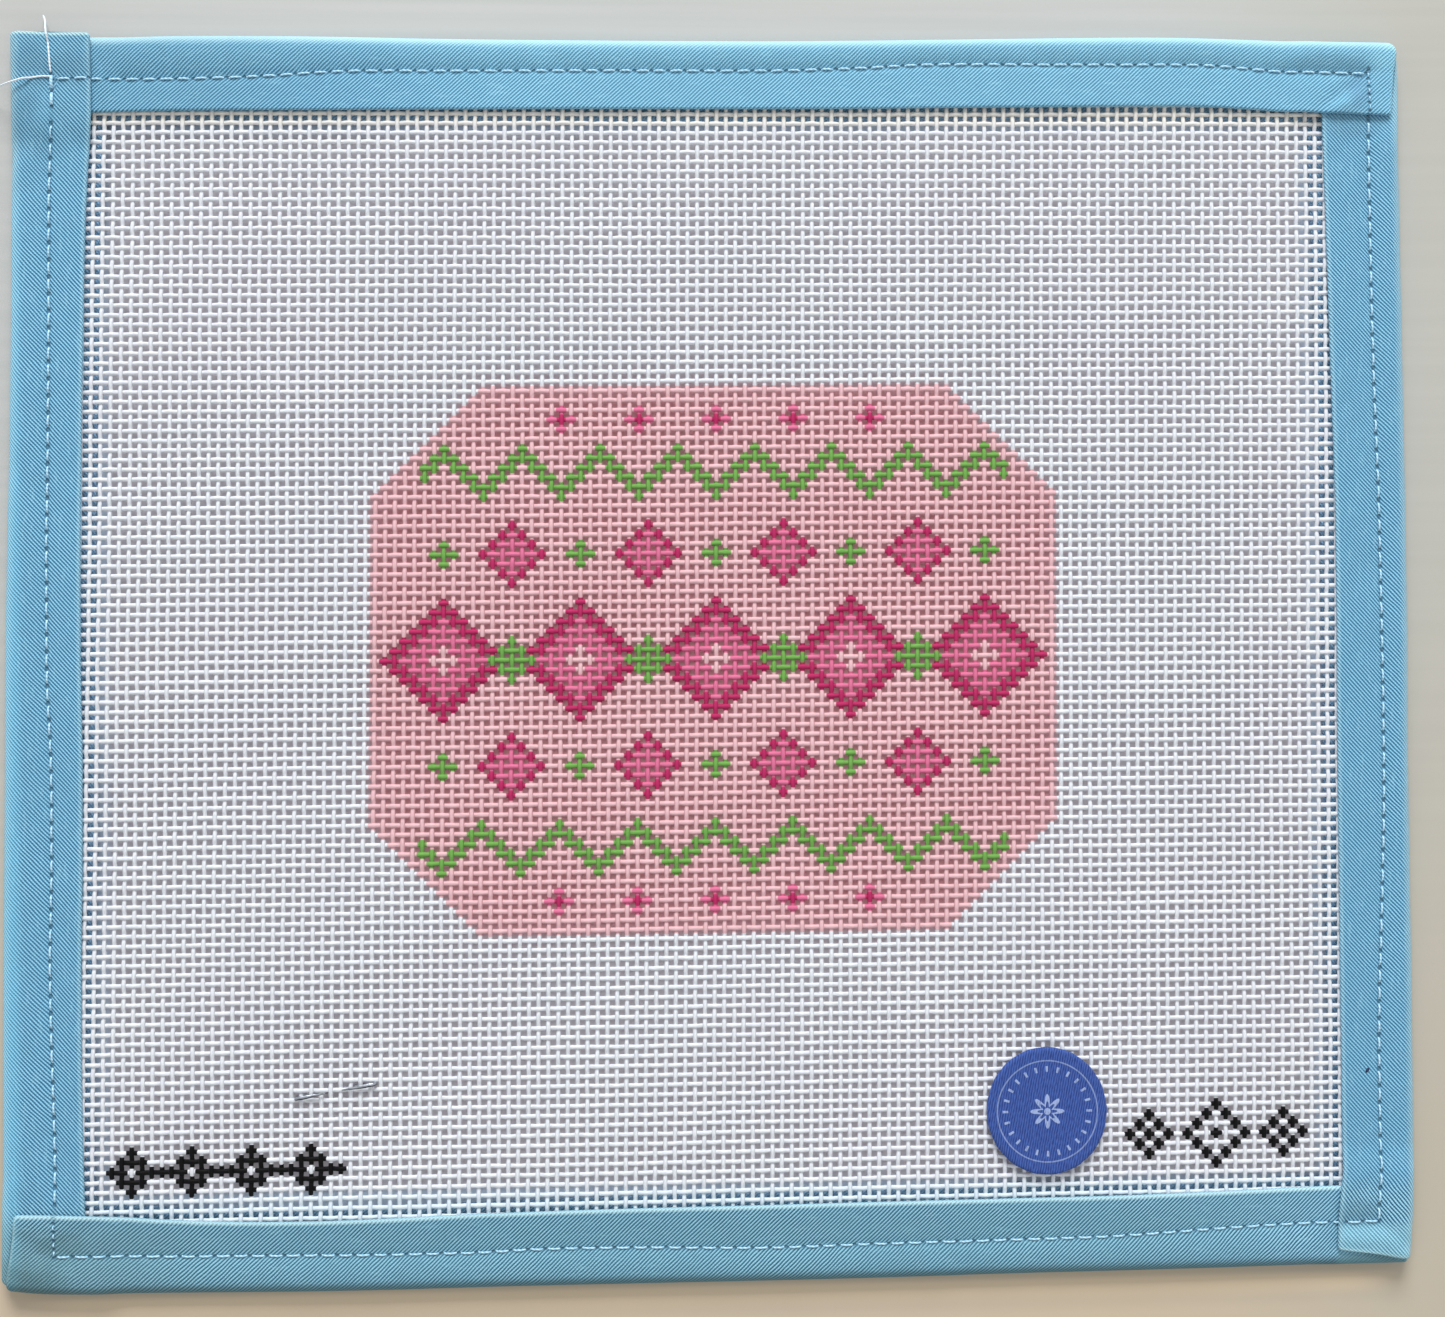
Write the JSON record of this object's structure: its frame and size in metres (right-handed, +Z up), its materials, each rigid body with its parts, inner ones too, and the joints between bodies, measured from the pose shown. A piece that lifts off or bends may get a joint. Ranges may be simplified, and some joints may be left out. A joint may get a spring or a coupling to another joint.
{
  "type": "needlepoint canvas panel",
  "caption": "Flat open-weave needlework canvas with a charted motif, its edges bound in folded twill tape, with a small round cloth label and a clinched wire staple.",
  "frame": {"origin": "middle of the panel's outline, on the surface that it lies on", "axes": "+X to the right across the front face, +Y towards the top edge, +Z up out of the front face"},
  "size_m": [0.2064, 0.183, 0.0054],
  "materials": {
    "canvas": "white plain-woven cotton canvas, open mesh, 18 threads an inch, painted in part",
    "tape": "light blue cotton twill tape, matt, with a fine diagonal rib",
    "label": "royal blue close-woven cloth with a soft sheen",
    "steel_wire": "thin bright staple wire"
  },
  "bodies": {
    "root": {"canvas": "canvas", "binding_top": "tape", "binding_bottom": "tape", "binding_left": "tape", "binding_right": "tape", "label": "label", "staple": "steel_wire"}
  },
  "joints": []
}
